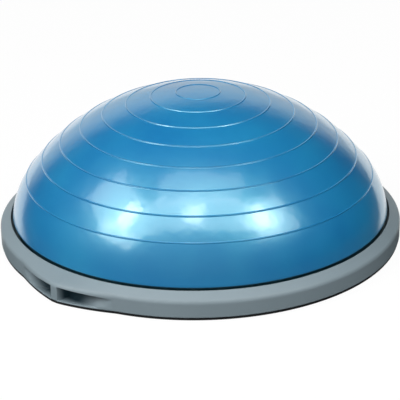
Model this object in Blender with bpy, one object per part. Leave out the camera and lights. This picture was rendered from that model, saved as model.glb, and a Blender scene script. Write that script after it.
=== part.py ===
"""Half ball balance trainer: an inflated bladder clamped between a grey rim with two grips and a black base.

Metres, +Z up. The origin is on the axis of the dome, at the floor. The grips lie on +X and -X, and the air
valve is on the +Y side of the bladder. Every piece is one closed solid, and pieces that touch keep GAP apart.
"""

import math

import bmesh
import bpy
import numpy as np
from mathutils import Matrix, Vector

# Fit between pieces
GAP = 0.0003

# Rubber feet and base
FOOT_STANDOFF = 0.0010
FOOT_RADIUS = 0.0145
FOOT_RECESS = 0.0012
FOOT_INSET = 0.041
FOOT_COUNT = 8
FOOT_CHAMFER = 0.0006
PLATE_THICKNESS = 0.0035
BASE_INSET = 0.0012
RIB_HEIGHT = 0.0195
RIB_THICKNESS = 0.0032
RIB_DRAFT = 0.0005
RIB_COUNT = 12
HUB_RADIUS = 0.028
RING_RIB_RADIUS = 0.165

# Rim ring, side wall to lip
RIM_RADIUS = 0.325
RIM_WALL = 0.0136
LIP_RISE = 0.0071
LIP_INSET = 0.0154
LIP_ROUND = 0.0009
TOP_SLOPE = math.radians(33)
RIM_FILLET = 0.0075
RIM_CHAMFER = 0.0013
CLAMP_THICKNESS = 0.0040
CLAMP_REACH = 0.0094

# Grips moulded in the rim
GRIP_BULGE = 0.0165
GRIP_HALF_ANGLE = math.radians(17.5)
GRIP_EASE = 1.1
POST_WIDTH = 0.0125
POST_FLARE = 0.2
POCKET_DEPTH = 0.024
POCKET_FLOOR = 0.0018
POCKET_ROOF_DROP = 0.0124
POCKET_ROOF_FALL = 0.005
POCKET_END = math.radians(1.2)
POCKET_RUNOUT = math.radians(3.8)

# Bladder
DOME_HEIGHT = 0.241
CROWN_DEPTH = 0.1261
SHOULDER_INSET = 0.0335
SHOULDER_EASE = 0.35
SHOULDER_FLARE = math.radians(8)
DOME_CLEARANCE = 0.0048
NECK_CLEARANCE = 0.0015
BLADDER_WALL = 0.0035
BEAD_HEIGHT = 0.0057
FIRST_RING = 0.035
RING_PITCH = 0.041
RING_WIDTH = 0.0032
RING_HEIGHT = 0.0009
PLAIN_BAND = 0.060

# Clamp screws
SCREW_COUNT = 12
SCREW_RADIUS = 0.0022
SCREW_LENGTH = 0.023
SCREW_HEAD_RADIUS = 0.0044
SCREW_HEAD_HEIGHT = 0.0022
SCREW_TIP_RADIUS = 0.0010
SCREW_TIP_LENGTH = 0.0044

# Air valve
VALVE_RISE = 0.030
VALVE_RADIUS = 0.0080
VALVE_LIP_RADIUS = 0.0105
VALVE_LIP_THICKNESS = 0.0010
VALVE_FLANGE_RADIUS = 0.0120
VALVE_DEPTH = 0.016
PLUG_RADIUS = 0.0034
PLUG_LENGTH = 0.018
PLUG_TIP_RADIUS = 0.0020
PLUG_TAPER = 0.0034
PLUG_HEAD_RADIUS = 0.0070
PLUG_HEAD_THICKNESS = 0.0022

# Facets round each kind of turned piece, in the rim over half a grip and between the grips, and along curves
DOME_STEPS = 54
RIM_GRIP_STEPS = 6
RIM_SIDE_STEPS = 24
BASE_STEPS = 60
FOOT_STEPS = 18
SCREW_STEPS = 10
VALVE_STEPS = 20
SHOULDER_FACETS = 5
NECK_FACETS = 4
AIR_FACETS = 9
FILLET_FACETS = 4
POCKET_FACETS = 8
CURVE_SAMPLES = 120

# Heights and radii that follow from the sizes above
PLATE_BOTTOM = FOOT_STANDOFF
PLATE_TOP = PLATE_BOTTOM + PLATE_THICKNESS
DECK_TOP = PLATE_TOP + RIB_HEIGHT
RIM_BOTTOM = PLATE_TOP + GAP
RIM_INNER = RIM_RADIUS - RIM_WALL
DECK_RADIUS = RIM_INNER - GAP
BEAD_BOTTOM = DECK_TOP + GAP
BEAD_TOP = BEAD_BOTTOM + BEAD_HEIGHT
CLAMP_BOTTOM = BEAD_TOP + GAP
CLAMP_TOP = CLAMP_BOTTOM + CLAMP_THICKNESS
CLAMP_INNER = RIM_INNER - CLAMP_REACH
LIP_HEIGHT = CLAMP_TOP + LIP_RISE
LIP_RADIUS = RIM_RADIUS - LIP_INSET
BLADDER_RADIUS = LIP_RADIUS - LIP_ROUND - DOME_CLEARANCE
NECK_RADIUS = CLAMP_INNER - NECK_CLEARANCE
CROWN_END = BLADDER_RADIUS - SHOULDER_INSET
CROWN_RADIUS = (CROWN_END**2 + CROWN_DEPTH**2) / (2 * CROWN_DEPTH)
SCREW_CIRCLE = (RIM_INNER + RIM_RADIUS - BASE_INSET) / 2
FOOT_CIRCLE = RIM_RADIUS - FOOT_INSET
POST_HALF_ANGLE = math.asin(POST_WIDTH / 2 / (RIM_RADIUS + GRIP_BULGE))
POCKET_HALF_ANGLE = GRIP_HALF_ANGLE - POCKET_END

# The flats of the rim's inner wall clear a true circle, so its corners lie this much further out
RIM_FLATS = 1 / math.cos((math.pi / 2 - GRIP_HALF_ANGLE) / RIM_SIDE_STEPS)


def clear_scene():
    for old in list(bpy.data.objects):
        bpy.data.objects.remove(old)


def material(name, colour, roughness, metallic=0.0):
    """A plain finish; the colour is linear."""
    made = bpy.data.materials.new(name)
    made.use_nodes = True
    shader = made.node_tree.nodes["Principled BSDF"]
    shader.inputs["Base Color"].default_value = (*colour, 1.0)
    shader.inputs["Roughness"].default_value = roughness
    shader.inputs["Metallic"].default_value = metallic
    return made


def add_object(name, mesh, finish):
    made = bpy.data.objects.new(name, mesh)
    bpy.context.scene.collection.objects.link(made)
    if finish:
        mesh.materials.append(finish)
    return made


def finish_mesh(bm, name, sharp=30):
    """Closes a bmesh into a smooth-shaded mesh with its normals pointing out."""
    bmesh.ops.remove_doubles(bm, verts=bm.verts, dist=1e-6)
    bmesh.ops.recalc_face_normals(bm, faces=bm.faces)
    mesh = bpy.data.meshes.new(name)
    bm.to_mesh(mesh)
    bm.free()
    mesh.shade_smooth()
    mesh.set_sharp_from_angle(angle=math.radians(sharp))
    return mesh


def turn_full(bm, steps):
    """Spins everything in the bmesh once round Z."""
    drawn = bm.verts[:] + bm.edges[:]
    bmesh.ops.spin(
        bm, geom=drawn, cent=(0, 0, 0), axis=(0, 0, 1), angle=2 * math.pi, steps=steps, use_merge=True
    )


def turned_mesh(name, profile, steps):
    """Revolves a line of (radius, height) points, which starts and ends on the axis, about Z."""
    bm = bmesh.new()
    points = [bm.verts.new((radius, 0.0, height)) for radius, height in profile]
    for pair in zip(points, points[1:]):
        bm.edges.new(pair)
    turn_full(bm, steps)
    return finish_mesh(bm, name)


def loop_of(bm, points):
    """A closed loop of edges through the points."""
    made = [bm.verts.new(point) for point in points]
    return [bm.edges.new((made[index - 1], made[index])) for index in range(len(made))]


def turned_ring(name, section, steps):
    """Revolves a closed section of (radius, height) points, clear of the axis, about Z."""
    bm = bmesh.new()
    loop_of(bm, [(radius, 0.0, height) for radius, height in section])
    turn_full(bm, steps)
    return finish_mesh(bm, name)


def hide_cutter(cutter):
    cutter.hide_render = True
    cutter.display_type = "WIRE"
    return cutter


def cut(target, cutter):
    modifier = target.modifiers.new(cutter.name, "BOOLEAN")
    modifier.operation = "DIFFERENCE"
    modifier.solver = "EXACT"
    modifier.object = cutter


def join_copies(name, mesh, places):
    """One cutter mesh holding a copy of mesh at each place."""
    bm = bmesh.new()
    for place in places:
        first = len(bm.verts)
        bm.from_mesh(mesh)
        bm.verts.ensure_lookup_table()
        bmesh.ops.transform(bm, matrix=place, verts=bm.verts[first:])
    joined = bpy.data.meshes.new(name)
    bm.to_mesh(joined)
    bm.free()
    return joined


def around(count, radius, height=0.0, start=0.0):
    """Places evenly spaced on a circle, each turned to face outwards."""
    turn = 2 * math.pi / count
    return [
        Matrix.Rotation(start + turn * index, 4, "Z") @ Matrix.Translation((radius, 0.0, height))
        for index in range(count)
    ]


def bezier(start, start_handle, end_handle, end, steps):
    """Points on a cubic curve, both ends included."""
    t = np.linspace(0, 1, steps + 1)
    weights = np.column_stack([(1 - t) ** 3, 3 * (1 - t) ** 2 * t, 3 * (1 - t) * t**2, t**3])
    return weights @ np.array([start, start_handle, end_handle, end])


# Outline of the grips

def grip_bulge(angle):
    """How far the rim stands out past its circle at an angle about Z, for grips on +X and -X."""
    from_grip = abs((angle + math.pi / 2) % math.pi - math.pi / 2)
    return GRIP_BULGE * max(0.0, 1 - from_grip / GRIP_HALF_ANGLE) ** GRIP_EASE


def rim_angles():
    """Angles of the rim's sections: close together over the grips, wider between them."""
    side = np.linspace(POST_HALF_ANGLE, GRIP_HALF_ANGLE, RIM_GRIP_STEPS + 1)
    between = np.linspace(GRIP_HALF_ANGLE, math.pi - GRIP_HALF_ANGLE, RIM_SIDE_STEPS + 1)[1:-1]
    half = np.concatenate([-side[::-1], side, between])
    return np.concatenate([half, half + math.pi])


# Bladder: crown, moulded rings, shoulder and tucked-in neck

def bladder_curve():
    """The inflated wall from pole to lip as close points, and the distance of each one from the pole."""
    shoulder_angle = math.asin(CROWN_END / CROWN_RADIUS)
    angles = np.linspace(0, shoulder_angle, CURVE_SAMPLES + 1)
    crown = np.column_stack(
        [CROWN_RADIUS * np.sin(angles), DOME_HEIGHT - CROWN_RADIUS * (1 - np.cos(angles))]
    )
    start = crown[-1]
    end = np.array([BLADDER_RADIUS, LIP_HEIGHT])
    handle = SHOULDER_EASE * np.hypot(*(end - start))
    leave = np.array([math.cos(shoulder_angle), -math.sin(shoulder_angle)])
    arrive = np.array([math.sin(SHOULDER_FLARE), -math.cos(SHOULDER_FLARE)])
    shoulder = bezier(start, start + handle * leave, end - handle * arrive, end, CURVE_SAMPLES // 2)
    points = np.vstack([crown, shoulder[1:]])
    steps = np.hypot(*np.diff(points, axis=0).T)
    return points, np.concatenate([[0.0], np.cumsum(steps)])


def wall_point(distance, lift=0.0):
    """The point at a distance from the pole along the wall, lifted off it, and the wall's normal there."""
    points, runs = bladder_curve()
    tangents = np.gradient(points, runs, axis=0)
    point, tangent = (
        np.array([np.interp(distance, runs, column) for column in table.T]) for table in (points, tangents)
    )
    normal = np.array([-tangent[1], tangent[0]]) / np.hypot(*tangent)
    return point + lift * normal, normal


def neck_profile():
    """The wall tucked in from the lip to the neck, where the rim clamps the bead."""
    top = (BLADDER_RADIUS, LIP_HEIGHT)
    bottom = (NECK_RADIUS, CLAMP_TOP - GAP)
    reach = (top[1] - bottom[1]) / 2
    top_handle = (top[0] + reach * math.sin(SHOULDER_FLARE), top[1] - reach * math.cos(SHOULDER_FLARE))
    return bezier(top, top_handle, (bottom[0], bottom[1] + reach / 2), bottom, NECK_FACETS)


def bladder_outer_profile():
    length = bladder_curve()[1][-1]
    points = [(0.0, DOME_HEIGHT)]
    last = 0.0
    for ring in np.arange(FIRST_RING, length - PLAIN_BAND, RING_PITCH):
        points.append(wall_point((last + ring) / 2)[0])
        points.append(wall_point(ring - RING_WIDTH / 2)[0])
        points.append(wall_point(ring, RING_HEIGHT)[0])
        points.append(wall_point(ring + RING_WIDTH / 2)[0])
        last = ring
    below_rings = np.linspace(last + RING_WIDTH / 2, length, SHOULDER_FACETS + 1)[1:]
    points += [wall_point(distance)[0] for distance in below_rings]
    points += list(neck_profile()[1:])
    points += [
        (NECK_RADIUS, BEAD_TOP),
        (DECK_RADIUS, BEAD_TOP),
        (DECK_RADIUS, BEAD_BOTTOM),
        (0.0, BEAD_BOTTOM),
    ]
    return points


def bladder_inner_profile():
    length = bladder_curve()[1][-1]
    floor = BEAD_BOTTOM + BLADDER_WALL
    points = [(0.0, DOME_HEIGHT - BLADDER_WALL)]
    points += [wall_point(length * step / AIR_FACETS, -BLADDER_WALL)[0] for step in range(1, AIR_FACETS + 1)]
    points += [
        (NECK_RADIUS - BLADDER_WALL, CLAMP_BOTTOM),
        (NECK_RADIUS - BLADDER_WALL, floor),
        (0.0, floor),
    ]
    return points


def valve_frame():
    """Placement of the valve: its Z axis leaves the wall square to it, on the +Y side."""
    points, runs = bladder_curve()
    distance = np.interp(-(LIP_HEIGHT + VALVE_RISE), -points[:, 1], runs)
    point, normal = wall_point(distance)
    tilt = math.atan2(normal[0], normal[1])
    return Matrix.Translation((0.0, point[0], point[1])) @ Matrix.Rotation(-tilt, 4, "X")


def make_bladder(finish):
    shell = turned_mesh("dome_bladder", bladder_outer_profile(), DOME_STEPS)
    bladder = add_object("dome_bladder", shell, finish)
    air = turned_mesh("air_space", bladder_inner_profile(), DOME_STEPS)
    cut(bladder, hide_cutter(add_object("air_space", air, None)))
    # The hole is spot-faced inside, so that the bushing's flange lies flat on the wall
    hole_radius = VALVE_RADIUS + GAP
    face_radius = VALVE_FLANGE_RADIUS + GAP
    outside = 3 * BLADDER_WALL
    hole = turned_mesh(
        "valve_hole",
        [
            (0, outside),
            (hole_radius, outside),
            (hole_radius, -BLADDER_WALL),
            (face_radius, -BLADDER_WALL),
            (face_radius, -outside),
            (0, -outside),
        ],
        VALVE_STEPS,
    )
    hole_cutter = hide_cutter(add_object("valve_hole", hole, None))
    hole_cutter.matrix_world = valve_frame()
    cut(bladder, hole_cutter)
    return bladder


# Rim ring

def rim_section(angle):
    """(radius, height) points round the rim's wall at one angle, starting at the bottom inside."""
    side = RIM_RADIUS + grip_bulge(angle)
    # The fillet turns from the upright side to the top face, which falls from the lip at TOP_SLOPE
    fillet_turn = math.pi / 2 - TOP_SLOPE
    slope_run = RIM_RADIUS - RIM_FILLET * (1 - math.sin(TOP_SLOPE)) - (LIP_RADIUS + LIP_ROUND)
    fillet_top = LIP_HEIGHT - LIP_ROUND / 2 - slope_run * math.tan(TOP_SLOPE)
    centre_height = fillet_top - RIM_FILLET * math.cos(TOP_SLOPE)
    fillet = [
        (side - RIM_FILLET * (1 - math.cos(turn)), centre_height + RIM_FILLET * math.sin(turn))
        for turn in np.linspace(0, fillet_turn, FILLET_FACETS + 1)
    ]
    lip = [
        (LIP_RADIUS + LIP_ROUND, LIP_HEIGHT - LIP_ROUND / 2),
        (LIP_RADIUS, LIP_HEIGHT),
        (LIP_RADIUS - LIP_ROUND, LIP_HEIGHT - LIP_ROUND),
    ]
    inside = [
        (LIP_RADIUS - LIP_ROUND, CLAMP_TOP),
        (CLAMP_INNER + CLAMP_THICKNESS / 2, CLAMP_TOP),
        (CLAMP_INNER, CLAMP_TOP - CLAMP_THICKNESS / 2),
        (CLAMP_INNER, CLAMP_BOTTOM),
        (RIM_INNER * RIM_FLATS, CLAMP_BOTTOM),
    ]
    bottom = [
        (RIM_INNER * RIM_FLATS, RIM_BOTTOM),
        (side - RIM_CHAMFER, RIM_BOTTOM),
        (side, RIM_BOTTOM + RIM_CHAMFER),
    ]
    return bottom + fillet + lip + inside


def rim_mesh():
    bm = bmesh.new()
    loops = []
    for angle in rim_angles():
        turn = Matrix.Rotation(angle, 3, "Z")
        section = [turn @ Vector((radius, 0.0, height)) for radius, height in rim_section(angle)]
        loops.append(loop_of(bm, section))
    for index, loop in enumerate(loops):
        bmesh.ops.bridge_loops(bm, edges=loops[index - 1] + loop)
    return finish_mesh(bm, "rim_ring")


def pocket_mesh():
    """Finger pocket beside the post on the +X grip's +Y side: deepest at the post, run out at its far end."""
    roof = LIP_HEIGHT - POCKET_ROOF_DROP
    floor = RIM_BOTTOM + POCKET_FLOOR
    outside = GRIP_BULGE
    length = POCKET_HALF_ANGLE - POST_HALF_ANGLE
    bm = bmesh.new()
    loops = []
    for angle in np.linspace(POST_HALF_ANGLE, POCKET_HALF_ANGLE, POCKET_FACETS + 1):
        face = RIM_RADIUS + grip_bulge(angle)
        out, across = face * math.cos(angle), face * math.sin(angle)
        # The back wall meets the outline first at the floor and, past it by POCKET_RUNOUT, at the roof
        share = (angle - POST_HALF_ANGLE) / length
        low_share = (angle - POST_HALF_ANGLE) / (length - POCKET_RUNOUT)
        top_depth = POCKET_DEPTH * (1 - share)
        low_depth = POCKET_DEPTH * (1 - low_share)
        top = roof - POCKET_ROOF_FALL * share
        flare = POST_FLARE * (1 - share)
        points = [
            (out + outside, across, floor),
            (out + outside, across, top),
            (out - top_depth, across + flare * top_depth, top),
            (out - low_depth, across + flare * low_depth, floor),
        ]
        loops.append(loop_of(bm, points))
    for near, far in zip(loops, loops[1:]):
        bmesh.ops.bridge_loops(bm, edges=near + far)
    bmesh.ops.holes_fill(bm, edges=bm.edges, sides=0)
    return finish_mesh(bm, "finger_pocket")


def make_rim(finish):
    rim = add_object("rim_ring", rim_mesh(), finish)
    for index, (along_x, along_y) in enumerate(((1, 1), (1, -1), (-1, 1), (-1, -1))):
        bm = bmesh.new()
        bm.from_mesh(pocket_mesh())
        bmesh.ops.scale(bm, vec=(along_x, along_y, 1), verts=bm.verts)
        pocket = finish_mesh(bm, f"finger_pocket_{index + 1}")
        cut(rim, hide_cutter(add_object(f"finger_pocket_{index + 1}", pocket, None)))
    hole_radius = SCREW_RADIUS + GAP
    hole_top = PLATE_BOTTOM + SCREW_LENGTH + 2 * GAP
    hole = turned_mesh(
        "screw_pilot", [(0, hole_top), (hole_radius, hole_top), (hole_radius, 0), (0, 0)], SCREW_STEPS
    )
    pilots = join_copies("screw_pilots", hole, around(SCREW_COUNT, SCREW_CIRCLE))
    cut(rim, hide_cutter(add_object("screw_pilots", pilots, None)))
    return rim


# Base: a plate with a ribbed deck moulded on it

def base_mesh():
    bm = bmesh.new()
    apothem = math.cos(math.pi / BASE_STEPS)
    bmesh.ops.create_circle(bm, cap_ends=True, radius=DECK_RADIUS, segments=BASE_STEPS)
    bmesh.ops.translate(bm, vec=(0, 0, DECK_TOP), verts=bm.verts)
    core = bm.faces[:][0]
    core.normal_update()
    radii = [DECK_RADIUS, DECK_RADIUS - RIB_THICKNESS / 2, RING_RIB_RADIUS, HUB_RADIUS]
    cells = []
    for outer, inner in zip(radii, radii[1:]):
        step_in = (outer - inner) * apothem
        ring = bmesh.ops.inset_region(
            bm, faces=[core], thickness=step_in, use_boundary=True, use_even_offset=True
        )["faces"]
        if outer == DECK_RADIUS:
            continue
        sectors = {}
        for face in ring:
            middle = face.calc_center_median()
            turn = (math.atan2(middle.y, middle.x) % (2 * math.pi)) / (2 * math.pi)
            sectors.setdefault(int(turn * RIB_COUNT), []).append(face)
        cells += list(sectors.values())
    # Each sector between ribs is narrowed by half a rib all round and then sunk to the plate, with draft
    for cell in cells:
        for narrower, deeper in ((RIB_THICKNESS / 2, 0.0), (RIB_DRAFT, -RIB_HEIGHT)):
            bmesh.ops.inset_region(
                bm, faces=cell, thickness=narrower, depth=deeper, use_boundary=True, use_even_offset=True
            )
    # The deck's wall drops to the plate, the plate runs out to the rim's outline, and a floor closes it
    edges = [edge for edge in bm.edges if edge.is_boundary]
    for target in ("wall", "flange", "edge"):
        made = bmesh.ops.extrude_edge_only(bm, edges=edges)["geom"]
        edges = [item for item in made if isinstance(item, bmesh.types.BMEdge)]
        for vert in {vert for edge in edges for vert in edge.verts}:
            angle = math.atan2(vert.co.y, vert.co.x)
            if target == "wall":
                vert.co.z = PLATE_TOP
            elif target == "flange":
                radius = RIM_RADIUS - BASE_INSET + grip_bulge(angle)
                vert.co.x, vert.co.y = radius * math.cos(angle), radius * math.sin(angle)
            else:
                vert.co.z = PLATE_BOTTOM
        edges = [edge for edge in edges if edge.is_boundary]
    bmesh.ops.contextual_create(bm, geom=edges)
    return finish_mesh(bm, "base_platform")


def make_base(finish):
    base = add_object("base_platform", base_mesh(), finish)
    head = SCREW_HEAD_RADIUS + GAP
    shank = SCREW_RADIUS + GAP
    below = -FOOT_STANDOFF
    above = 2 * PLATE_THICKNESS
    hole = turned_mesh(
        "screw_hole",
        [
            (0, above),
            (shank, above),
            (shank, SCREW_HEAD_HEIGHT + GAP),
            (head, GAP),
            (head, below),
            (0, below),
        ],
        SCREW_STEPS,
    )
    holes = join_copies("screw_holes", hole, around(SCREW_COUNT, SCREW_CIRCLE, PLATE_BOTTOM))
    cut(base, hide_cutter(add_object("screw_holes", holes, None)))
    recess_radius = FOOT_RADIUS + GAP
    recess = turned_mesh(
        "foot_recess",
        [(0, FOOT_RECESS), (recess_radius, FOOT_RECESS), (recess_radius, below), (0, below)],
        FOOT_STEPS,
    )
    places = around(FOOT_COUNT, FOOT_CIRCLE, PLATE_BOTTOM, math.pi / FOOT_COUNT)
    recesses = join_copies("foot_recesses", recess, places)
    cut(base, hide_cutter(add_object("foot_recesses", recesses, None)))
    return base


def make_screws(finish):
    """Countersunk screws, driven up from below through the plate into the rim."""
    mesh = turned_mesh(
        "clamp_screw",
        [
            (0, SCREW_LENGTH),
            (SCREW_TIP_RADIUS, SCREW_LENGTH),
            (SCREW_RADIUS, SCREW_LENGTH - SCREW_TIP_LENGTH),
            (SCREW_RADIUS, SCREW_HEAD_HEIGHT),
            (SCREW_HEAD_RADIUS, 0),
            (0, 0),
        ],
        SCREW_STEPS,
    )
    mesh.materials.append(finish)
    for index, place in enumerate(around(SCREW_COUNT, SCREW_CIRCLE, PLATE_BOTTOM)):
        screw = add_object(f"clamp_screw_{index + 1:02d}", mesh, None)
        screw.matrix_world = place


def make_feet(finish):
    top = FOOT_STANDOFF + FOOT_RECESS - GAP
    mesh = turned_mesh(
        "rubber_foot",
        [(0, top), (FOOT_RADIUS, top), (FOOT_RADIUS, FOOT_CHAMFER), (FOOT_RADIUS - FOOT_CHAMFER, 0), (0, 0)],
        FOOT_STEPS,
    )
    mesh.materials.append(finish)
    for index, place in enumerate(around(FOOT_COUNT, FOOT_CIRCLE, 0.0, math.pi / FOOT_COUNT)):
        foot = add_object(f"rubber_foot_{index + 1}", mesh, None)
        foot.matrix_world = place


# Air valve: a bushing bonded in the bladder's wall, and the plug pressed into it

def make_valve(seat_finish, plug_finish):
    bore = PLUG_RADIUS + GAP
    wall_face = -BLADDER_WALL - GAP
    flange_face = wall_face - VALVE_LIP_THICKNESS
    tube = (bore + VALVE_RADIUS) / 2
    head_face = VALVE_LIP_THICKNESS + 2 * GAP
    head_top = head_face + PLUG_HEAD_THICKNESS
    tip = head_face - PLUG_LENGTH
    seat = turned_ring(
        "valve_seat",
        [
            (bore, VALVE_LIP_THICKNESS + GAP),
            (VALVE_LIP_RADIUS - VALVE_LIP_THICKNESS / 2, VALVE_LIP_THICKNESS + GAP),
            (VALVE_LIP_RADIUS, GAP),
            (VALVE_RADIUS, GAP),
            (VALVE_RADIUS, wall_face),
            (VALVE_FLANGE_RADIUS, wall_face),
            (VALVE_FLANGE_RADIUS, flange_face),
            (tube, flange_face),
            (tube, -VALVE_DEPTH),
            (bore, -VALVE_DEPTH),
        ],
        VALVE_STEPS,
    )
    plug = turned_mesh(
        "valve_plug",
        [
            (0, head_top),
            (PLUG_HEAD_RADIUS - PLUG_HEAD_THICKNESS / 2, head_top),
            (PLUG_HEAD_RADIUS, head_top - PLUG_HEAD_THICKNESS / 2),
            (PLUG_HEAD_RADIUS, head_face),
            (PLUG_RADIUS, head_face),
            (PLUG_RADIUS, tip + PLUG_TAPER),
            (PLUG_TIP_RADIUS, tip),
            (0, tip),
        ],
        VALVE_STEPS,
    )
    add_object("valve_seat", seat, seat_finish).matrix_world = valve_frame()
    add_object("valve_plug", plug, plug_finish).matrix_world = valve_frame()


clear_scene()
pvc = material("blue_pvc", (0.022, 0.205, 0.430), 0.22)
grey_plastic = material("grey_polypropylene", (0.215, 0.245, 0.275), 0.42)
black_plastic = material("black_polypropylene", (0.010, 0.011, 0.012), 0.55)
rubber = material("black_rubber", (0.008, 0.008, 0.008), 0.8)
steel = material("zinc_plated_steel", (0.55, 0.55, 0.56), 0.3, metallic=1.0)
valve_vinyl = material("valve_vinyl", (0.022, 0.205, 0.430), 0.35)
white_plastic = material("white_polyethylene", (0.75, 0.75, 0.73), 0.4)

make_bladder(pvc)
make_rim(grey_plastic)
make_base(black_plastic)
make_feet(rubber)
make_screws(steel)
make_valve(valve_vinyl, white_plastic)
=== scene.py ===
"""Half ball balance trainer, dressed: a pearl blue vinyl half ball, clamped between a grey rim with two
moulded grips and a black base platform on rubber feet. Metres, +Z up, with the grips on +X and -X."""

import math

import bmesh
import bpy
import numpy as np
from mathutils import Matrix, Quaternion, Vector


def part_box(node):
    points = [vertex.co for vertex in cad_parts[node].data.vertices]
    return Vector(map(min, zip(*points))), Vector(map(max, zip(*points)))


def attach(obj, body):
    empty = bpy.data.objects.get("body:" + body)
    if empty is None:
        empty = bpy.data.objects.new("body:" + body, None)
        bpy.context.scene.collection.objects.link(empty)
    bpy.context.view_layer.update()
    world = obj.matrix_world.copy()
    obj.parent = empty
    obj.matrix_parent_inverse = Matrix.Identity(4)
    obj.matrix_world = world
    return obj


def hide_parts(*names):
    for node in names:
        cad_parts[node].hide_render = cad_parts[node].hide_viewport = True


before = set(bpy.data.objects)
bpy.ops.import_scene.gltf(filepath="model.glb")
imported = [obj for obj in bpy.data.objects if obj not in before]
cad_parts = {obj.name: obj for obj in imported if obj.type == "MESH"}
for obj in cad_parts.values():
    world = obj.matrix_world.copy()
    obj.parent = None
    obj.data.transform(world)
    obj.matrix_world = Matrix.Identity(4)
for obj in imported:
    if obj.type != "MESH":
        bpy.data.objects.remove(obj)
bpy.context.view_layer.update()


# Base platform
# Moulded in black polypropylene: a plate nearly as wide as the rim, and on it a ribbed deck that the half
# ball's flat floor lies on. Twelve screws go up through the plate into the rim, and round recesses in its
# underside hold the feet.

GAP = 0.0003
PLATE_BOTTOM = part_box("base_platform")[0].z
DECK_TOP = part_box("base_platform")[1].z
RIM_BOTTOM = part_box("rim_ring")[0].z
RIM_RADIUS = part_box("rim_ring")[1].y
GRIP_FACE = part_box("rim_ring")[1].x
PLATE_TOP = RIM_BOTTOM - GAP
DECK_RADIUS = 0.3111
BASE_INSET = 0.0012
PLATE_EDGE_ROUND = 0.0006
PLATE_EDGE_ANGLE = math.radians(60)
RIB_THICKNESS = 0.0032
RIB_DRAFT = 0.0005
RIB_COUNT = 12
HUB_RADIUS = 0.028
RING_RIB_RADIUS = 0.165
BASE_STEPS = 360

GRIP_BULGE = 0.0165
GRIP_HALF_ANGLE = math.radians(17.5)
GRIP_EASE = 1.1

SCREW_COUNT = 12
SCREW_CIRCLE = 0.3176
SCREW_RADIUS = 0.0022
SCREW_HEAD_RADIUS = 0.0044
SCREW_HEAD_HEIGHT = 0.0022
SCREW_HOLE_STEPS = 32
FOOT_COUNT = 8
FOOT_CIRCLE = 0.284
FOOT_RADIUS = 0.0145
FOOT_RECESS = 0.0012
FOOT_STEPS = 64

MERGE_DISTANCE = 1e-6
SHARP_ANGLE = math.radians(30)
# Noise keeps mostly between these two values
NOISE_LOW = 0.3
NOISE_HIGH = 0.7

BASE_BLACK = "17191B"
BASE_BLACK_LIGHT = "1D2022"


def linear(colour):
    """The linear colour, with full opacity, of an sRGB hex value."""
    parts = [int(colour[start:start + 2], 16) / 255 for start in (0, 2, 4)]
    return [part / 12.92 if part <= 0.04045 else ((part + 0.055) / 1.055) ** 2.4 for part in parts] + [1.0]


def add_node(tree, kind, settings=None, inputs=None):
    """Adds a node, sets its properties, and sets or links its inputs by name or number."""
    node = tree.nodes.new(kind)
    for name, value in (settings or {}).items():
        setattr(node, name, value)
    for name, value in (inputs or {}).items():
        if isinstance(value, bpy.types.NodeSocket):
            tree.links.new(value, node.inputs[name])
        else:
            node.inputs[name].default_value = value
    return node


def start_material(name):
    """A material, its empty node tree, and Object coordinates to draw patterns in."""
    material = bpy.data.materials.new(name)
    material.use_nodes = True
    tree = material.node_tree
    tree.nodes.clear()
    place = add_node(tree, "ShaderNodeTexCoord").outputs["Object"]
    return material, tree, place


def finish_material(tree, inputs):
    """Adds the Principled shader with these settings and links, and joins it to the output."""
    shader = add_node(tree, "ShaderNodeBsdfPrincipled", inputs=inputs)
    add_node(tree, "ShaderNodeOutputMaterial", inputs={"Surface": shader.outputs["BSDF"]})


def moulded_polypropylene(name, dark, light, roughness, grain_depth):
    """Polypropylene from a spark-eroded mould: satin, with a fine even grain and faint flow marks."""
    # The real grain is about 0.1 mm across, which is too fine to show here, so it is drawn at 1.1 mm
    grain_size = 0.0011
    flow_size = 0.070
    unevenness = 0.04
    material, tree, place = start_material(name)
    flow, grain = (
        add_node(tree, "ShaderNodeTexNoise", inputs={"Vector": place, "Scale": 1 / size, "Detail": detail})
        for size, detail in ((flow_size, 3.0), (grain_size, 2.0))
    )
    colour = add_node(
        tree, "ShaderNodeMix", {"data_type": "RGBA"}, {0: flow.outputs[0], 6: linear(dark), 7: linear(light)}
    )
    satin = add_node(
        tree,
        "ShaderNodeMapRange",
        inputs={
            "Value": flow.outputs[0],
            "From Min": NOISE_LOW,
            "From Max": NOISE_HIGH,
            "To Min": roughness - unevenness,
            "To Max": roughness + unevenness,
        },
    )
    bump = add_node(tree, "ShaderNodeBump", inputs={"Distance": grain_depth, "Height": grain.outputs[0]})
    finish_material(
        tree,
        {
            "Base Color": colour.outputs[2],
            "Roughness": satin.outputs["Result"],
            "IOR": 1.49,
            "Normal": bump.outputs["Normal"],
        },
    )
    return material


def finish_piece(bm, name, material, body, nodes):
    """Makes a bmesh a smooth-shaded piece that rides on its body and stands for its CAD nodes."""
    mesh = bpy.data.meshes.new(name)
    bm.to_mesh(mesh)
    bm.free()
    mesh.materials.append(material)
    mesh.shade_smooth()
    mesh.set_sharp_from_angle(angle=SHARP_ANGLE)
    piece = bpy.data.objects.new(name, mesh)
    bpy.context.scene.collection.objects.link(piece)
    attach(piece, body)
    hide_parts(*nodes)


def close_up(bm):
    """Merges the seams and poles, and points the faces outwards."""
    bmesh.ops.remove_doubles(bm, verts=bm.verts, dist=MERGE_DISTANCE)
    bmesh.ops.recalc_face_normals(bm, faces=bm.faces)


def loop_of(bm, points, closed=True):
    """Vertices at the points and the edges between them, joined up at the end where the line is closed."""
    made = [bm.verts.new(point) for point in points]
    first = 0 if closed else 1
    return made, [bm.edges.new((made[index - 1], made[index])) for index in range(first, len(made))]


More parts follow.
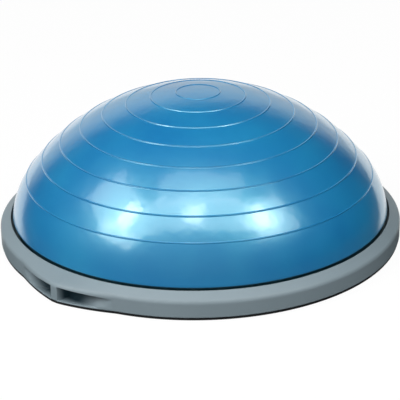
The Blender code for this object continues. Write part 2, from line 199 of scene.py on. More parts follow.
def turn(bm, profile, steps, closed=False):
    """Turns a line of (radius, height) points once round Z."""
    verts, edges = loop_of(bm, [(radius, 0.0, height) for radius, height in profile], closed)
    bmesh.ops.spin(
        bm,
        geom=verts + edges,
        cent=(0, 0, 0),
        axis=(0, 0, 1),
        angle=2 * math.pi,
        steps=steps,
        use_merge=True,
    )
    close_up(bm)


def rounded(corners, steps=4):
    """Points along a line of (radius, height, rounding) corners, with an arc at each rounded one."""
    points = []
    for index, (radius, height, rounding) in enumerate(corners):
        corner = Vector((radius, height))
        if not rounding:
            points.append(corner)
            continue
        before = (Vector(corners[index - 1][:2]) - corner).normalized()
        after = (Vector(corners[(index + 1) % len(corners)][:2]) - corner).normalized()
        half = before.angle(after) / 2
        centre = corner + (before + after).normalized() * rounding / math.sin(half)
        first = corner + before * rounding / math.tan(half) - centre
        last = corner + after * rounding / math.tan(half) - centre
        points += [centre + rounding * first.slerp(last, step / steps) for step in range(steps + 1)]
    return points


def around(count, radius, height, start=0.0):
    """Places evenly spaced on a circle, each turned to face outwards."""
    first = Matrix.Translation((radius, 0.0, height))
    return [Matrix.Rotation(start + 2 * math.pi * index / count, 4, "Z") @ first for index in range(count)]


def place_copies(bm, mesh, places):
    """Adds a copy of the mesh at each place."""
    for place in places:
        first = len(bm.verts)
        bm.from_mesh(mesh)
        bm.verts.ensure_lookup_table()
        bmesh.ops.transform(bm, matrix=place, verts=bm.verts[first:])


def turned_tools(profile, steps, places):
    """A bmesh with a closed turned shape at each place."""
    bm = bmesh.new()
    turn(bm, profile, steps)
    shape = bpy.data.meshes.new("turned_tool")
    bm.to_mesh(shape)
    bm.clear()
    place_copies(bm, shape, places)
    bpy.data.meshes.remove(shape)
    return bm


def cut(bm, tools):
    """Takes the closed shapes of the tools bmesh out of the bmesh, and frees the tools."""
    helpers = []
    for name, source in (("blank", bm), ("cutter", tools)):
        helper = bpy.data.objects.new(name, bpy.data.meshes.new(name))
        source.to_mesh(helper.data)
        bpy.context.scene.collection.objects.link(helper)
        helpers.append(helper)
    tools.free()
    blank, cutter = helpers
    boolean = blank.modifiers.new("cut", "BOOLEAN")
    boolean.operation = "DIFFERENCE"
    boolean.solver = "EXACT"
    boolean.object = cutter
    bpy.context.view_layer.update()
    bm.clear()
    bm.from_mesh(blank.evaluated_get(bpy.context.evaluated_depsgraph_get()).data)
    for helper in helpers:
        mesh = helper.data
        bpy.data.objects.remove(helper)
        bpy.data.meshes.remove(mesh)


def grip_outline(angle):
    """Radius of the rim's side wall at an angle about Z: a circle that swells to a flat face at a grip."""
    from_grip = (angle + math.pi / 2) % math.pi - math.pi / 2
    swell = GRIP_BULGE * max(0.0, 1 - abs(from_grip) / GRIP_HALF_ANGLE) ** GRIP_EASE
    return min(RIM_RADIUS + swell, GRIP_FACE / math.cos(from_grip))


def base_platform():
    bm = bmesh.new()
    apothem = math.cos(math.pi / BASE_STEPS)
    bmesh.ops.create_circle(bm, cap_ends=True, radius=DECK_RADIUS, segments=BASE_STEPS)
    bmesh.ops.translate(bm, vec=(0, 0, DECK_TOP), verts=bm.verts)
    deck = bm.faces[:][0]
    deck.normal_update()
    radii = [DECK_RADIUS, DECK_RADIUS - RIB_THICKNESS / 2, RING_RIB_RADIUS, HUB_RADIUS]
    cells = []
    for outer, inner in zip(radii, radii[1:]):
        ring = bmesh.ops.inset_region(
            bm, faces=[deck], thickness=(outer - inner) * apothem, use_boundary=True, use_even_offset=True
        )["faces"]
        if outer == DECK_RADIUS:
            continue
        sectors = {}
        for face in ring:
            middle = face.calc_center_median()
            share = (math.atan2(middle.y, middle.x) % (2 * math.pi)) / (2 * math.pi)
            sectors.setdefault(int(share * RIB_COUNT), []).append(face)
        cells += list(sectors.values())
    # Each cell is narrowed by half a rib all round and then sunk to the plate, with draft
    for cell in cells:
        for narrower, deeper in ((RIB_THICKNESS / 2, 0.0), (RIB_DRAFT, PLATE_TOP - DECK_TOP)):
            bmesh.ops.inset_region(
                bm, faces=cell, thickness=narrower, depth=deeper, use_boundary=True, use_even_offset=True
            )
    # The deck's wall drops to the plate, the plate runs out to the rim's outline, and a floor closes it
    edges = [edge for edge in bm.edges if edge.is_boundary]
    for stretch in ("wall", "flange", "edge"):
        made = bmesh.ops.extrude_edge_only(bm, edges=edges)["geom"]
        edges = [item for item in made if isinstance(item, bmesh.types.BMEdge) and item.is_boundary]
        for vert in {vert for edge in edges for vert in edge.verts}:
            if stretch == "wall":
                vert.co.z = PLATE_TOP
            elif stretch == "flange":
                angle = math.atan2(vert.co.y, vert.co.x)
                radius = grip_outline(angle) - BASE_INSET
                vert.co.x = radius * math.cos(angle)
                vert.co.y = radius * math.sin(angle)
            else:
                vert.co.z = PLATE_BOTTOM
    bmesh.ops.contextual_create(bm, geom=edges)
    close_up(bm)
    outline = [
        edge
        for edge in bm.edges
        if all(vert.co.xy.length > RIM_RADIUS - 2 * BASE_INSET for vert in edge.verts)
        and edge.calc_face_angle(0) > PLATE_EDGE_ANGLE
    ]
    bmesh.ops.bevel(
        bm, geom=outline, offset=PLATE_EDGE_ROUND, affect="EDGES", segments=3, profile=0.5, material=-1
    )
    return bm


base = base_platform()
through_plate = 2 * (PLATE_TOP - PLATE_BOTTOM)
head_hole = SCREW_HEAD_RADIUS + GAP
shank_hole = SCREW_RADIUS + GAP
foot_hole = FOOT_RADIUS + GAP
countersink = [
    (0, through_plate),
    (shank_hole, through_plate),
    (shank_hole, SCREW_HEAD_HEIGHT + GAP),
    (head_hole, GAP),
    (head_hole, -through_plate),
    (0, -through_plate),
]
cut(base, turned_tools(countersink, SCREW_HOLE_STEPS, around(SCREW_COUNT, SCREW_CIRCLE, PLATE_BOTTOM)))
recess = [(0, FOOT_RECESS), (foot_hole, FOOT_RECESS), (foot_hole, -through_plate), (0, -through_plate)]
recess_places = around(FOOT_COUNT, FOOT_CIRCLE, PLATE_BOTTOM, math.pi / FOOT_COUNT)
cut(base, turned_tools(recess, FOOT_STEPS, recess_places))
black_polypropylene = moulded_polypropylene(
    "black_moulded_polypropylene", BASE_BLACK, BASE_BLACK_LIGHT, roughness=0.52, grain_depth=0.00003
)
finish_piece(base, "platform", black_polypropylene, "trainer", ["base_platform"])


# Half ball
# One blown skin of pearl blue PVC, about 3.5 mm thick, with eight thin raised rings from the mould. Just
# above the lip the wall rolls under to a neck, and below it a flat bead, which the rim clamps, runs out to
# the deck's edge. A flat floor closes the air chamber.

BALL_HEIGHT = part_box("dome_bladder")[1].z
LIP_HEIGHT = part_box("rim_ring")[1].z
BALL_RADIUS = 0.3043
CROWN_DEPTH = 0.1261
SHOULDER_WIDTH = 0.0335
CROWN_END = BALL_RADIUS - SHOULDER_WIDTH
CROWN_RADIUS = (CROWN_END**2 + CROWN_DEPTH**2) / (2 * CROWN_DEPTH)
SHOULDER_EASE = 0.35
SHOULDER_FLARE = math.radians(8)
BALL_WALL = 0.0035
BALL_STEPS = 288
CROWN_POINTS = 400
SHOULDER_POINTS = 200
SKIN_STEP = 0.008
INSIDE_POINTS = 40

RING_COUNT = 8
FIRST_RING = 0.035
RING_PITCH = 0.041
RING_WIDTH = 0.0032
RING_HEIGHT = 0.0009
RING_REACH = 0.65
RING_POINTS = 14

BEAD_BOTTOM = DECK_TOP + GAP
BEAD_THICKNESS = 0.0057
BEAD_TOP = BEAD_BOTTOM + BEAD_THICKNESS
BEAD_ROUND = 0.0012
CLAMP_BOTTOM = BEAD_TOP + GAP
NECK_RADIUS = 0.3005
TUCK_ABOVE_LIP = 0.0040
TUCK_START = LIP_HEIGHT + TUCK_ABOVE_LIP
TUCK_ROUND = 0.0038
TUCK_END = math.radians(75)
TUCK_STEPS = 8

VALVE_ABOVE_LIP = 0.030
VALVE_HEIGHT = LIP_HEIGHT + VALVE_ABOVE_LIP
VALVE_RADIUS = 0.0080
VALVE_FLANGE_RADIUS = 0.0120
VALVE_STEPS = 64

BALL_BLUE = "075FA4"
BALL_BLUE_LIGHT = "118ABC"
PEARL_CYAN = "A8F4F0"
# Colour painted in as shade in the groove round the ball and deep in the grip pockets
PAINTED_SHADE = "17303A"
# The painted shade is full this far below the place where the wall starts to roll under
PAINTED_SHADE_REACH = 0.0021


def bezier(start, start_handle, end_handle, end, steps):
    """Points on a cubic curve, both ends included."""
    t = np.linspace(0, 1, steps + 1)
    weights = np.column_stack([(1 - t) ** 3, 3 * (1 - t) ** 2 * t, 3 * (1 - t) * t**2, t**3])
    return weights @ np.array([start, start_handle, end_handle, end])


def ball_curve():
    """The inflated wall from pole to tuck as close points, with distances from the pole and normals."""
    shoulder_angle = math.asin(CROWN_END / CROWN_RADIUS)
    angles = np.linspace(0, shoulder_angle, CROWN_POINTS)
    crown_heights = BALL_HEIGHT - CROWN_RADIUS * (1 - np.cos(angles))
    crown = np.column_stack([CROWN_RADIUS * np.sin(angles), crown_heights])
    start, end = crown[-1], np.array([BALL_RADIUS, TUCK_START])
    handle = SHOULDER_EASE * np.hypot(*(end - start))
    leave = np.array([math.cos(shoulder_angle), -math.sin(shoulder_angle)])
    arrive = np.array([math.sin(SHOULDER_FLARE), -math.cos(SHOULDER_FLARE)])
    shoulder = bezier(start, start + handle * leave, end - handle * arrive, end, SHOULDER_POINTS)
    points = np.vstack([crown, shoulder[1:]])
    runs = np.concatenate([[0.0], np.cumsum(np.hypot(*np.diff(points, axis=0).T))])
    tangents = np.gradient(points, runs, axis=0)
    normals = np.column_stack([-tangents[:, 1], tangents[:, 0]]) / np.hypot(*tangents.T)[:, None]
    return points, runs, normals


def wall_points(distances, lift):
    """Points of the wall at distances from the pole, lifted off it."""
    points, runs, normals = ball_curve()
    place, normal = (
        np.column_stack([np.interp(distances, runs, column) for column in table.T])
        for table in (points, normals)
    )
    return place + lift[:, None] * normal


def ring_lift(distances):
    """How far the skin stands out at the rings, each a smooth wave, and how far off the nearest one is."""
    rings = FIRST_RING + RING_PITCH * np.arange(RING_COUNT)
    nearest = np.abs(distances[:, None] - rings).min(axis=1)
    wave = RING_HEIGHT * (1 + np.cos(2 * math.pi * nearest / RING_WIDTH)) / 2
    return np.where(nearest < RING_WIDTH / 2, wave, 0.0), nearest


def half_ball():
    length = ball_curve()[1][-1]
    plain = np.arange(0, length, SKIN_STEP)
    plain = plain[ring_lift(plain)[1] > RING_WIDTH]
    # Points just outside a ring keep the shading of its flanks from spreading over the plain skin beside it
    across_ring = RING_WIDTH * np.linspace(-RING_REACH, RING_REACH, RING_POINTS)
    on_rings = [FIRST_RING + RING_PITCH * index + across_ring for index in range(RING_COUNT)]
    distances = np.sort(np.concatenate([plain, *on_rings, [length]]))
    outside = [tuple(point) for point in wall_points(distances, ring_lift(distances)[0])]
    # Just above the lip the wall rolls under, which leaves the dark line between the ball and the rim
    tuck_radius = BALL_RADIUS - TUCK_ROUND * math.cos(SHOULDER_FLARE)
    tuck_height = TUCK_START - TUCK_ROUND * math.sin(SHOULDER_FLARE)
    outside += [
        (tuck_radius + TUCK_ROUND * math.cos(bend), tuck_height - TUCK_ROUND * math.sin(bend))
        for bend in np.linspace(-SHOULDER_FLARE, TUCK_END, TUCK_STEPS + 1)[1:]
    ]
    rolled_under = outside[-1]
    outside += rounded(
        [
            (NECK_RADIUS, BEAD_TOP, 0),
            (DECK_RADIUS, BEAD_TOP, BEAD_ROUND),
            (DECK_RADIUS, BEAD_BOTTOM, BEAD_ROUND),
            (0.0, BEAD_BOTTOM, 0),
        ]
    )
    floor = BEAD_BOTTOM + BALL_WALL
    inner_distances = np.linspace(0, length, INSIDE_POINTS)
    inside = [tuple(point) for point in wall_points(inner_distances, np.full(INSIDE_POINTS, -BALL_WALL))]
    inside += [
        (rolled_under[0] - BALL_WALL, rolled_under[1]),
        (NECK_RADIUS - BALL_WALL, CLAMP_BOTTOM),
        (NECK_RADIUS - BALL_WALL, floor),
        (0.0, floor),
    ]
    bm = bmesh.new()
    turn(bm, inside, BALL_STEPS)
    bmesh.ops.reverse_faces(bm, faces=bm.faces)
    chamber = bpy.data.meshes.new("air_chamber")
    bm.to_mesh(chamber)
    bm.clear()
    turn(bm, outside, BALL_STEPS)
    bm.from_mesh(chamber)
    bpy.data.meshes.remove(chamber)
    return bm


def valve_place():
    """Placement of the valve: its Z axis leaves the wall square to it, on the +Y side."""
    points, _, normals = ball_curve()
    index = np.argmin(np.abs(points[:, 1] - VALVE_HEIGHT))
    tilt = math.atan2(normals[index][0], normals[index][1])
    return Matrix.Translation((0.0, points[index][0], points[index][1])) @ Matrix.Rotation(-tilt, 4, "X")


def pearl_vinyl():
    """Blown PVC with a pearl pigment: deep blue, with a soft wide cyan sheen under a narrow clear gloss."""
    # The blown skin drifts in thickness and pigment over a hand's width, and its surface ripples slightly,
    # which breaks up the highlights
    drift_size = 0.110
    ripple_size = 0.034
    ripple_depth = 0.00065
    peel_size = 0.0034
    peel_depth = 0.000012
    material, tree, place = start_material("blown_pearl_vinyl")
    drift, ripple, peel = (
        add_node(tree, "ShaderNodeTexNoise", inputs={"Vector": place, "Scale": 1 / size, "Detail": detail})
        for size, detail in ((drift_size, 3.0), (ripple_size, 2.0), (peel_size, 1.0))
    )
    colour = add_node(
        tree,
        "ShaderNodeMix",
        {"data_type": "RGBA"},
        {0: drift.outputs[0], 6: linear(BALL_BLUE), 7: linear(BALL_BLUE_LIGHT)},
    )
    ripples = add_node(
        tree, "ShaderNodeBump", inputs={"Distance": ripple_depth, "Height": ripple.outputs[0]}
    )
    skin = add_node(
        tree,
        "ShaderNodeBump",
        inputs={"Distance": peel_depth, "Height": peel.outputs[0], "Normal": ripples.outputs["Normal"]},
    )
    satin = add_node(
        tree,
        "ShaderNodeMapRange",
        inputs={
            "Value": drift.outputs[0],
            "From Min": NOISE_LOW,
            "From Max": NOISE_HIGH,
            "To Min": 0.28,
            "To Max": 0.35,
        },
    )
    # Pearl flakes bend light far more than vinyl does, so the sheen under the gloss has their IOR and tint
    finish_material(
        tree,
        {
            "Base Color": colour.outputs[2],
            "Roughness": satin.outputs["Result"],
            "IOR": 2.7,
            "Specular Tint": linear(PEARL_CYAN),
            "Coat Weight": 1.0,
            "Coat Roughness": 0.13,
            "Coat IOR": 1.7,
            "Normal": skin.outputs["Normal"],
            "Coat Normal": ripples.outputs["Normal"],
        },
    )
    return material


def mark_painted_shade(bm, share_at):
    """Marks each point with how much painted shade it gets, from 0 on the open skin to 1 in full shade."""
    painted_shade = bm.verts.layers.float.new("painted_shade")
    for vert in bm.verts:
        vert[painted_shade] = min(max(share_at(vert.co), 0.0), 1.0)


def paint_shade(material):
    """Paints shade into the plastic's colour where points are marked for it, as in the groove round the
    ball.
    """
    tree = material.node_tree
    shader = next(node for node in tree.nodes if node.type == "BSDF_PRINCIPLED")
    unshaded = shader.inputs["Base Color"].links[0].from_socket
    painted_shade = add_node(tree, "ShaderNodeAttribute", {"attribute_name": "painted_shade"}).outputs["Fac"]
    shaded = add_node(tree, "ShaderNodeMix", {"data_type": "RGBA"}, {0: painted_shade, 6: unshaded, 7: linear(PAINTED_SHADE)})
    tree.links.new(shaded.outputs[2], shader.inputs["Base Color"])


ball = half_ball()
through_wall = 3 * BALL_WALL
tube_hole = VALVE_RADIUS + GAP
flange_hole = VALVE_FLANGE_RADIUS + GAP
valve_hole = [
    (0, through_wall),
    (tube_hole, through_wall),
    (tube_hole, -BALL_WALL),
    (flange_hole, -BALL_WALL),
    (flange_hole, -through_wall),
    (0, -through_wall),
]
cut(ball, turned_tools(valve_hole, VALVE_STEPS, [valve_place()]))
# The skin below where it rolls under gets painted shade, for the dark line between the ball and the rim
mark_painted_shade(ball, lambda place: (TUCK_START - place.z) / PAINTED_SHADE_REACH)
blue_pvc = pearl_vinyl()
paint_shade(blue_pvc)
finish_piece(ball, "half_ball", blue_pvc, "trainer", ["dome_bladder"])


# Rim ring
# One moulding in satin grey polypropylene. Its flange presses on the ball's bead, its top falls from a thin
# lip to a rounded edge, and on two sides it swells into a grip: a flat post between two finger pockets, each
# deepest at the post and running out along the rim.

RIM_INNER = DECK_RADIUS + GAP
LIP_INSET = 0.0166
LIP_RADIUS = RIM_RADIUS - LIP_INSET
LIP_ROUND = 0.0009
TOP_SLOPE = math.radians(33)
RIM_FILLET = 0.0075
RIM_CHAMFER = 0.0013
CHAMFER_ROUND = 0.0004
CLAMP_WIDTH = 0.0094
CLAMP_INNER = RIM_INNER - CLAMP_WIDTH
CLAMP_THICKNESS = 0.0040
CLAMP_TOP = CLAMP_BOTTOM + CLAMP_THICKNESS
CLAMP_ROUND = 0.0015
# The fillet turns from the upright side to the top face, which falls from the lip at TOP_SLOPE
SLOPE_RUN = RIM_RADIUS - RIM_FILLET * (1 - math.sin(TOP_SLOPE)) - (LIP_RADIUS + LIP_ROUND)
SLOPE_END = LIP_HEIGHT - LIP_ROUND / 2 - SLOPE_RUN * math.tan(TOP_SLOPE)
FILLET_START = SLOPE_END - RIM_FILLET * math.cos(TOP_SLOPE)

POST_WIDTH = 0.0125
POST_FLARE = 0.2
# Sections lie close together from just inside the post's face to where the pocket has its full depth
POST_FACE_MARGIN = 0.0010
POST_SIDE_REACH = 0.0052
POCKET_DEPTH = 0.024
POCKET_SILL = 0.0018
POCKET_FLOOR = RIM_BOTTOM + POCKET_SILL
POCKET_COVER = 0.0124
POCKET_ROOF = LIP_HEIGHT - POCKET_COVER
POCKET_ROOF_FALL = 0.005
POCKET_MARGIN = math.radians(1.2)
POCKET_HALF_ANGLE = GRIP_HALF_ANGLE - POCKET_MARGIN
POCKET_RUNOUT = math.radians(3.8)
POCKET_EDGE = 0.0007
POCKET_ROOT = 0.0025
POCKET_DRAFT = 0.0004
POCKET_BLEND = 0.0011
POCKET_STEPS = 4
FILLET_STEPS = 8

SCREW_LENGTH = 0.023
SCREW_STEPS = 24

RIM_GREY = "77868D"
RIM_GREY_LIGHT = "7D8C93"
# Depths in a pocket where the painted shade begins and where it is full
PAINTED_SHADE_START = 0.001
PAINTED_SHADE_FULL = 0.013


def ease_in(value, blend):
    """The value where it is positive and nothing where it is negative, with a smooth bend between."""
    if abs(value) < blend:
        return (value + blend) ** 2 / (4 * blend)
    return max(value, 0.0)


def pocket_depths(angle):
    """Depth of the finger pocket at its floor and at its roof, and the roof's height, at one angle."""
    from_grip = abs((angle + math.pi / 2) % math.pi - math.pi / 2)
    outline = grip_outline(angle)
    post_angle = math.asin(POST_WIDTH / 2 / outline)
    share = (from_grip - post_angle) / (POCKET_HALF_ANGLE - post_angle)
    low_share = (from_grip - post_angle) / (POCKET_HALF_ANGLE - post_angle - POCKET_RUNOUT)
    # The post's sides leave its face almost square, and move apart with the depth
    post_side = (outline * math.sin(from_grip) - POST_WIDTH / 2) / (POST_FLARE + math.sin(from_grip))
    depths = []
    for back_wall in (POCKET_DEPTH * (1 - low_share), POCKET_DEPTH * (1 - share)):
        nearer = back_wall - ease_in(back_wall - post_side, POCKET_ROOT / 2)
        depths.append(ease_in(nearer, POCKET_EDGE if nearer < back_wall / 2 else POCKET_BLEND))
    return depths[0], depths[1], POCKET_ROOF - POCKET_ROOF_FALL * min(max(share, 0.0), 1.0)


def between(start, end, shares):
    """Points at shares of the way from one to the other."""
    run, rise = end[0] - start[0], end[1] - start[1]
    return [(start[0] + share * run, start[1] + share * rise) for share in shares]


def pocket_section(angle):
    """(inset, height) points up the side wall through the pocket, with rounded mouth edges and corners.

    Away from the pocket they lie on the wall at the same heights, so that every section has as many points.
    """
    low_depth, high_depth, roof = pocket_depths(angle)
    bends = np.radians(np.linspace(0, 90, POCKET_STEPS + 1))
    half = []
    for depth, sign, edge in ((low_depth, 1, POCKET_FLOOR), (high_depth, -1, roof)):
        shallow = min(1.0, depth / (POCKET_EDGE + POCKET_ROOT))
        mouth = [
            (shallow * POCKET_EDGE * (1 - math.cos(bend)), edge - sign * POCKET_EDGE * (1 - math.sin(bend)))
            for bend in bends
        ]
        corner = [
            (
                depth - shallow * POCKET_ROOT * (1 - math.sin(bend)),
                edge + sign * (POCKET_DRAFT + POCKET_ROOT * (1 - math.cos(bend))),
            )
            for bend in bends
        ]
        half.append(mouth + corner)
    low, high = half
    return low + between(low[-1], high[-1], (0.25, 0.5, 0.75)) + high[::-1]


def rim_section(angle):
    """(radius, height) points round the rim's wall at one angle, starting at the lip."""
    side = grip_outline(angle)
    # The pocket's mouth may reach up into the fillet, which then starts above it
    pocket = []
    for inset, height in pocket_section(angle):
        above = min(max(height - FILLET_START, 0.0) / RIM_FILLET, 1.0)
        pocket.append((side - max(inset, RIM_FILLET * (1 - math.sqrt(1 - above**2))), height))
    first_bend = math.asin(max(pocket[-1][1] + POCKET_DRAFT - FILLET_START, 0.0) / RIM_FILLET)
    fillet = [
        (side - RIM_FILLET * (1 - math.cos(bend)), FILLET_START + RIM_FILLET * math.sin(bend))
        for bend in np.linspace(first_bend, math.pi / 2 - TOP_SLOPE, FILLET_STEPS + 1)
    ]
    lip = rounded(
        [
            (*fillet[-1], 0),
            (LIP_RADIUS + LIP_ROUND / 2, LIP_HEIGHT, LIP_ROUND / 2),
            (LIP_RADIUS - LIP_ROUND, LIP_HEIGHT, LIP_ROUND / 2),
            (LIP_RADIUS - LIP_ROUND, CLAMP_TOP, LIP_ROUND),
            (CLAMP_INNER, CLAMP_TOP, CLAMP_ROUND),
            (CLAMP_INNER, CLAMP_BOTTOM, 0),
            (RIM_INNER, CLAMP_BOTTOM, 0),
            (RIM_INNER, RIM_BOTTOM, 0),
            (side - RIM_CHAMFER, RIM_BOTTOM, CHAMFER_ROUND),
            (side, RIM_BOTTOM + RIM_CHAMFER, CHAMFER_ROUND),
            (side, POCKET_FLOOR, 0),
        ]
    )
    return lip[1:-1] + pocket + fillet + between(fillet[-1], lip[1], (0.33, 0.67))


def rim_angles():
    """Angles of the sections, close together at the sides of a post and further apart elsewhere."""
    post = math.asin(POST_WIDTH / 2 / GRIP_FACE)
    close_start = post - POST_FACE_MARGIN / GRIP_FACE
    close_end = post + POST_SIDE_REACH / GRIP_FACE
    runs = [
        (0.0, close_start, 2),
        (close_start, close_end, 20),
        (close_end, POCKET_HALF_ANGLE, 32),
        (POCKET_HALF_ANGLE, GRIP_HALF_ANGLE, 5),
        (GRIP_HALF_ANGLE, math.pi / 2, 40),
    ]
    quarter = np.concatenate([np.linspace(start, end, count, endpoint=False) for start, end, count in runs])
    half = np.concatenate([quarter, [math.pi / 2], math.pi - quarter[:0:-1]])
    return np.concatenate([half, half + math.pi])


def rim_ring():
    bm = bmesh.new()
    loops = []
    for angle in rim_angles():
        facing = Matrix.Rotation(angle, 3, "Z")
        section = [facing @ Vector((radius, 0.0, height)) for radius, height in rim_section(angle)]
        loops.append(loop_of(bm, section)[1])
    for index, loop in enumerate(loops):
        bmesh.ops.bridge_loops(bm, edges=loops[index - 1] + loop)
    close_up(bm)
    return bm


def rim_painted_shade(place):
    """How much painted shade a point of the rim gets: more the deeper in a pocket, and full inside the lip.
    """
    radius = place.xy.length
    depth = grip_outline(math.atan2(place.y, place.x)) - radius
    if place.z < POCKET_ROOF + POCKET_EDGE:
        return (depth - PAINTED_SHADE_START) / (PAINTED_SHADE_FULL - PAINTED_SHADE_START)
    return float(radius < LIP_RADIUS - LIP_ROUND / 2 and place.z < LIP_HEIGHT - LIP_ROUND / 4)


rim = rim_ring()
pilot_top = SCREW_LENGTH + 2 * GAP
pilot = [(0, pilot_top), (shank_hole, pilot_top), (shank_hole, 0), (0, 0)]
cut(rim, turned_tools(pilot, SCREW_STEPS, around(SCREW_COUNT, SCREW_CIRCLE, PLATE_BOTTOM)))
grey_polypropylene = moulded_polypropylene(
    "grey_moulded_polypropylene", RIM_GREY, RIM_GREY_LIGHT, roughness=0.46, grain_depth=0.00002
)
# The grip pockets and the wall inside the lip get painted shade
mark_painted_shade(rim, rim_painted_shade)
paint_shade(grey_polypropylene)
finish_piece(rim, "rim", grey_polypropylene, "trainer", ["rim_ring"])


# Clamp screws
# Twelve countersunk thread-forming screws in zinc-plated steel, driven up through the plate into the rim.
# The thread is rolled, and the head has a cross recess.

SCREW_TIP_RADIUS = 0.0010
SCREW_TIP_LENGTH = 0.0044
THREAD_PITCH = 0.0018
THREAD_DEPTH = 0.0004
THREAD_STEPS = 8
CREST_SHARPNESS = 3
CROSS_WIDTH = 0.0010
CROSS_REACH = 0.0025
CROSS_DEPTH = 0.0016
CROSS_TAPER = 0.5

ZINC = "C4C8CC"


def clamp_screw():
    bm = bmesh.new()
    thread_top = SCREW_LENGTH - SCREW_TIP_LENGTH
    heights = np.arange(thread_top, SCREW_HEAD_HEIGHT, -THREAD_PITCH / THREAD_STEPS)
    profile = [(0, SCREW_LENGTH), (SCREW_TIP_RADIUS, SCREW_LENGTH)]
    profile += [(SCREW_RADIUS, height) for height in heights]
    profile += [(SCREW_RADIUS, SCREW_HEAD_HEIGHT), (SCREW_HEAD_RADIUS, 0), (0, 0)]
    turn(bm, profile, SCREW_STEPS)
    # Between the crests of a helix the shank is drawn in
    for vert in bm.verts:
        if SCREW_HEAD_HEIGHT + THREAD_PITCH / 2 < vert.co.z <= thread_top:
            turns = vert.co.z / THREAD_PITCH - math.atan2(vert.co.y, vert.co.x) / (2 * math.pi)
            from_crest = abs(turns % 1.0 - 0.5)
            vert.co.xy *= 1 - THREAD_DEPTH / SCREW_RADIUS * min(1.0, CREST_SHARPNESS * from_crest)
    return bm


def cross_recess():
    """The driver's cross: an outline with four arms, drawn up into the head and narrowed as it goes in."""
    bm = bmesh.new()
    half_width = CROSS_WIDTH / 2
    arm = [(CROSS_REACH, -half_width), (CROSS_REACH, half_width), (half_width, half_width)]
    outline = [
        Matrix.Rotation(quarter * math.pi / 2, 3, "Z") @ Vector((*point, -CROSS_DEPTH))
        for quarter in range(4)
        for point in arm
    ]
    bmesh.ops.contextual_create(bm, geom=loop_of(bm, outline)[1])
    top = bmesh.ops.extrude_face_region(bm, geom=bm.faces[:])["geom"]
    top = [item for item in top if isinstance(item, bmesh.types.BMVert)]
    bmesh.ops.translate(bm, vec=(0, 0, 2 * CROSS_DEPTH), verts=top)
    bmesh.ops.scale(bm, vec=(CROSS_TAPER, CROSS_TAPER, 1), verts=top)
    close_up(bm)
    return bm


def finish_copies(bm, name, places, material, body, node):
    """Makes a piece from a copy of the bmesh at each place, with names that count up as the nodes' do."""
    shape = bpy.data.meshes.new(name)
    bm.to_mesh(shape)
    bm.free()
    for index, place in enumerate(places, 1):
        copy = bmesh.new()
        place_copies(copy, shape, [place])
        finish_piece(copy, name.format(index), material, body, [node.format(index)])
    bpy.data.meshes.remove(shape)


def zinc_plate():
    """Bright zinc over steel, passivated: a cool grey metal, slightly uneven where it was tumbled."""
    tumble_size = 0.0012
    material, tree, place = start_material("zinc_plated_steel")
    tumble = add_node(tree, "ShaderNodeTexNoise", inputs={"Vector": place, "Scale": 1 / tumble_size})
    rub = add_node(
        tree, "ShaderNodeMapRange", inputs={"Value": tumble.outputs[0], "To Min": 0.20, "To Max": 0.42}
    )
    finish_material(tree, {"Base Color": linear(ZINC), "Metallic": 1.0, "Roughness": rub.outputs["Result"]})
    return material


screw = clamp_screw()
cut(screw, cross_recess())
finish_copies(
    screw,
    "screw_{:02d}",
    around(SCREW_COUNT, SCREW_CIRCLE, PLATE_BOTTOM),
    zinc_plate(),
    "trainer",
    "clamp_screw_{:02d}",
)


# Rubber feet
# Eight moulded rubber discs glued in the platform's recesses. Three grooves in the underside help them grip.

FOOT_TOP = PLATE_BOTTOM + FOOT_RECESS - GAP
FOOT_ROUND = 0.0006
FOOT_ROUND_STEPS = 3
GROOVE_RADII = (0.0112, 0.0080, 0.0048)
GROOVE_WIDTH = 0.0011
GROOVE_DEPTH = 0.0005
GROOVE_ROUND = 0.00015

RUBBER = "141414"


def rubber_foot():
    corners = [(0, FOOT_TOP, 0), (FOOT_RADIUS, FOOT_TOP, FOOT_ROUND / 2), (FOOT_RADIUS, 0, FOOT_ROUND)]
    for radius in GROOVE_RADII:
        corners += [
            (radius + GROOVE_WIDTH / 2, 0, GROOVE_ROUND),
            (radius + GROOVE_WIDTH / 4, GROOVE_DEPTH, GROOVE_ROUND),
            (radius - GROOVE_WIDTH / 4, GROOVE_DEPTH, GROOVE_ROUND),
            (radius - GROOVE_WIDTH / 2, 0, GROOVE_ROUND),
        ]
    bm = bmesh.new()
    turn(bm, rounded([*corners, (0, 0, 0)], FOOT_ROUND_STEPS), FOOT_STEPS)
    return bm


def moulded_rubber():
    """Black moulded rubber: dull, with a faint bloom."""
    bloom_size = 0.004
    grain_size = 0.0006
    grain_depth = 0.00003
    material, tree, place = start_material("moulded_black_rubber")
    bloom, grain = (
        add_node(tree, "ShaderNodeTexNoise", inputs={"Vector": place, "Scale": 1 / size})
        for size in (bloom_size, grain_size)
    )
    dull = add_node(
        tree, "ShaderNodeMapRange", inputs={"Value": bloom.outputs[0], "To Min": 0.72, "To Max": 0.88}
    )
    bump = add_node(tree, "ShaderNodeBump", inputs={"Distance": grain_depth, "Height": grain.outputs[0]})
    finish_material(
        tree,
        {
            "Base Color": linear(RUBBER),
            "Roughness": dull.outputs["Result"],
            "IOR": 1.52,
            "Normal": bump.outputs["Normal"],
        },
    )
    return material


finish_copies(
    rubber_foot(),
    "foot_{}",
    around(FOOT_COUNT, FOOT_CIRCLE, 0.0, math.pi / FOOT_COUNT),
    moulded_rubber(),
    "trainer",
    "rubber_foot_{}",
)


# Valve seat
# A bushing moulded in softer vinyl and bonded in the ball's wall: a thin lip outside, a flange inside, and a
# bore that grips the plug.

PLUG_RADIUS = 0.0034
VALVE_LIP_RADIUS = 0.0105
VALVE_LIP = 0.0010
VALVE_DEPTH = 0.016
VALVE_LIP_ROUND = 0.0007
VALVE_BASE_ROUND = 0.0002
FLANGE_ROUND = 0.0003
TUBE_ROOT = 0.0006
BORE_ROUND = 0.0004

SEAT_BLUE = "1D6E9E"


